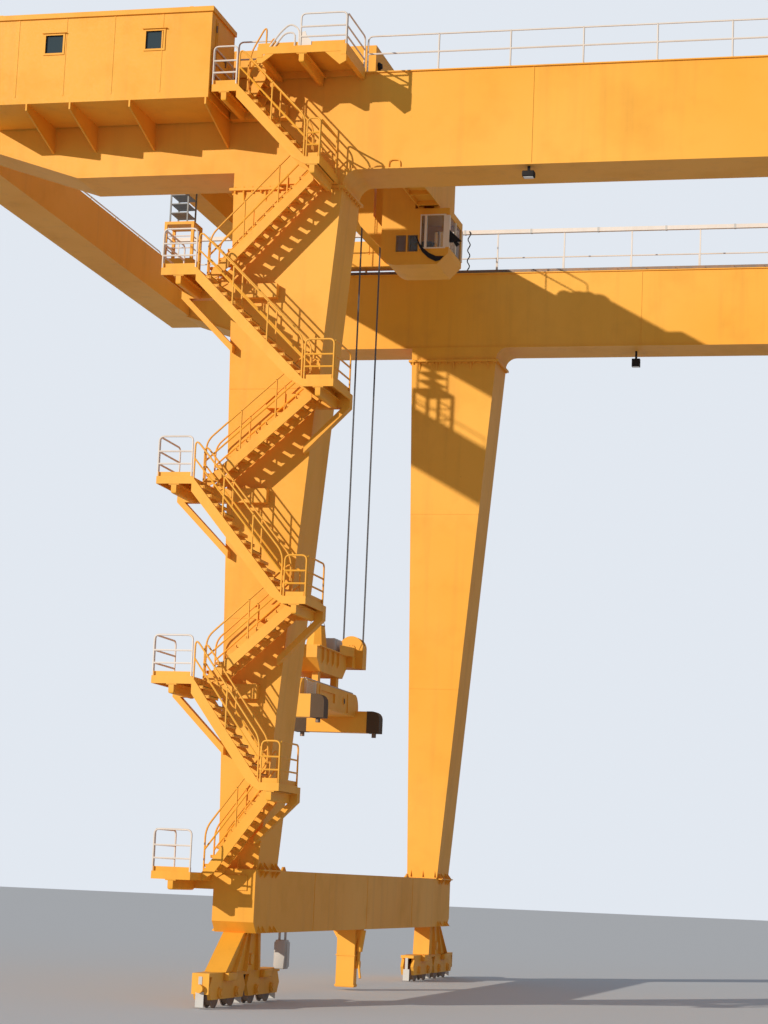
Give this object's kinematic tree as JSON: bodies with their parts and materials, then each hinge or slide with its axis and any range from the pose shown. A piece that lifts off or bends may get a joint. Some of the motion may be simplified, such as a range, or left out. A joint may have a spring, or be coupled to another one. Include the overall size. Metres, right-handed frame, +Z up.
{
  "type": "rail-mounted gantry crane, 1:2 scale model",
  "caption": "Gantry crane on ground rails: twin box girders on tapered legs carry a travelling trolley with a cab, drums and a spreader that is raised on ropes.",
  "frame": {"origin": "midway between the four corners of the gantry, at the level of the ground wheels' lowest points", "axes": "+X along the main girders towards the long span's far leg, +Y along the ground rails, +Z up"},
  "size_m": [24.304, 12.36, 11.719],
  "materials": {
    "yellow_paint": "weathered satin",
    "pale_paint": "satin",
    "dark_paint": "satin",
    "worn_steel": "worn",
    "galvanised": "dull",
    "wire_rope": "greased",
    "glazing": "clear"
  },
  "bodies": {
    "gantry": {"anchor_posts": "worn_steel", "electrical_house": "yellow_paint", "end_beams": "yellow_paint", "floodlights": "yellow_paint", "girder_far": "yellow_paint", "girder_near": "yellow_paint", "house_platform": "yellow_paint", "house_windows": "glazing", "landing_rails": "yellow_paint", "landings": "yellow_paint", "legs_left": "yellow_paint", "legs_right": "yellow_paint", "power_rail": "worn_steel", "rail_wheels": "worn_steel", "sill_beams": "yellow_paint", "stair_flight_1": "yellow_paint", "stair_flight_2": "yellow_paint", "stair_flight_3": "yellow_paint", "stair_flight_4": "yellow_paint", "stair_flight_5": "yellow_paint", "stair_flight_6": "yellow_paint", "stair_flight_7": "yellow_paint", "stair_flight_8": "yellow_paint", "stair_flight_9": "yellow_paint", "top_platform": "yellow_paint", "trolley_rails": "worn_steel", "trucks_left": "yellow_paint", "trucks_right": "yellow_paint", "walkway_railings": "yellow_paint"},
    "trolley": {"trolley_carriages": "yellow_paint", "trolley_wheels": "worn_steel", "trolley_beams": "yellow_paint", "trolley_deck": "yellow_paint", "deck_railing": "yellow_paint", "hoist_drums": "yellow_paint", "drum_stands": "yellow_paint", "drum_motors": "yellow_paint", "operator_cab": "pale_paint", "cab_glass": "glazing", "cab_hangers": "pale_paint", "service_platform": "yellow_paint", "service_ladder": "yellow_paint", "cab_beam": "yellow_paint", "hoist_ropes": "wire_rope"},
    "spreader": {"headblock": "yellow_paint", "headblock_sheaves": "dark_paint", "sheave_guards": "yellow_paint", "headblock_locks": "yellow_paint", "spreader_frame": "yellow_paint", "twistlocks": "worn_steel", "cable_basket": "galvanised"}
  },
  "joints": [
    {"name": "trolley_travel", "type": "slide", "parent": "gantry", "child": "trolley", "axis": [1, 0, 0], "range_m": [-1.05, 17.8]},
    {"name": "hoist", "type": "slide", "parent": "trolley", "child": "spreader", "axis": [0, 0, 1], "range_m": [-1.82, 4.4], "deforming": ["hoist_ropes"]}
  ]
}
